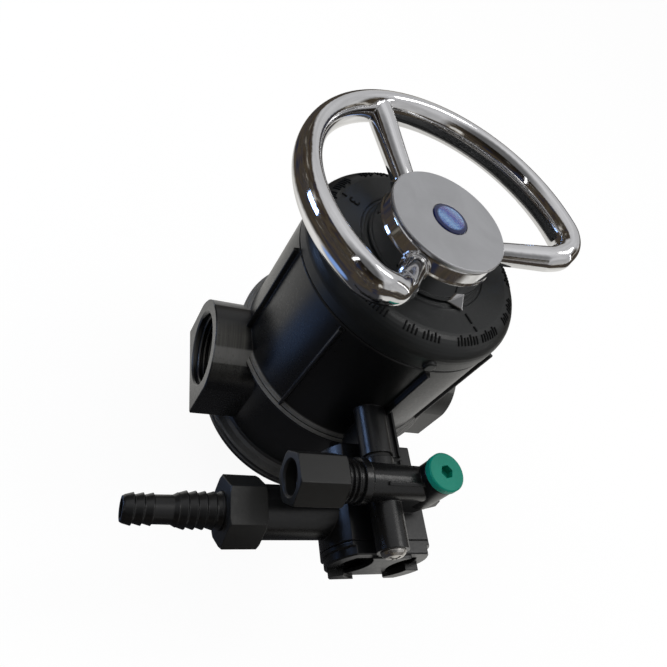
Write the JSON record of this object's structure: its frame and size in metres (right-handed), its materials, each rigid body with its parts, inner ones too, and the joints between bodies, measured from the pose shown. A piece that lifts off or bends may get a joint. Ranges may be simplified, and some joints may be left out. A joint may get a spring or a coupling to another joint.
{
  "type": "manual multiport control valve",
  "caption": "Manual rotary multiport control valve for a filter or softener tank, with chrome handwheel, side ports, injector, brine fitting and drain hose barb.",
  "frame": {"origin": "centre of the tank seat: on the valve axis, in the plane of the base flange's underside", "axes": "+Z along the valve axis towards the handwheel, -X out of the port on the left, -Y towards the injector and drain fittings"},
  "size_m": [0.161, 0.1674, 0.1794],
  "materials": {
    "black_body": "moulded, slight sheen",
    "black_cover": "moulded, slight sheen",
    "black_fitting": "moulded, semi-gloss",
    "black_nut": "moulded, satin",
    "black_barb": "moulded, satin",
    "black_shaft": "moulded",
    "black_rubber": "matte",
    "white_ceramic": "lapped",
    "green_plastic": "moulded, satin",
    "natural_plastic": "natural white",
    "steel": "zinc-plated or stainless",
    "chrome": "mirror",
    "satin_cap": "satin light grey",
    "blue_badge": "domed clear resin over blue"
  },
  "bodies": {
    "valve": {"valve_body": "black_body", "top_cover": "black_cover", "cover_o_ring": "black_rubber", "tank_o_ring": "black_rubber", "riser_o_ring": "black_rubber", "fixed_disc": "white_ceramic", "fixed_disc_gasket": "black_rubber", "detent_spring": "steel", "injector_body": "black_fitting", "injector_gasket": "black_rubber", "injector_nozzle": "green_plastic", "injector_throat": "green_plastic", "injector_plug": "green_plastic", "plug_o_ring": "black_rubber", "injector_screws": "steel", "brine_sleeve": "black_fitting", "brine_flow_button": "black_rubber", "end_cover": "black_fitting", "end_cover_o_ring": "black_rubber", "drain_flow_button": "black_rubber", "hose_barb": "black_barb", "barb_gasket": "black_rubber"},
    "rotor": {"shaft": "black_shaft", "shaft_o_rings": "black_rubber", "thrust_washer": "natural_plastic", "moving_disc": "white_ceramic", "moving_disc_seal": "black_rubber", "handwheel": "chrome", "hub_cap": "satin_cap", "hub_badge": "blue_badge", "handwheel_screw": "steel", "handwheel_washer": "steel"},
    "detent": {"detent_ball": "steel"},
    "brine_nut_turning": {"brine_nut": "black_nut"},
    "drain_nut_turning": {"drain_nut": "black_nut"}
  },
  "joints": [
    {"name": "handwheel_turn", "type": "hinge", "parent": "valve", "child": "rotor", "pos_m": [0, 0, 0], "axis": [0, 0, 1], "continuous": true},
    {"name": "detent_ball_slide", "type": "slide", "parent": "valve", "child": "detent", "axis": [0, 0, 1], "range_m": [0, 0.0008], "deforming": ["detent_spring"]},
    {"name": "brine_nut_spin", "type": "hinge", "parent": "valve", "child": "brine_nut_turning", "pos_m": [-0.036, -0.078, 0.0799], "axis": [1, 0, 0], "continuous": true},
    {"name": "drain_nut_spin", "type": "hinge", "parent": "valve", "child": "drain_nut_turning", "pos_m": [-0.054, -0.0808, 0.0524], "axis": [1, 0, 0], "continuous": true}
  ]
}
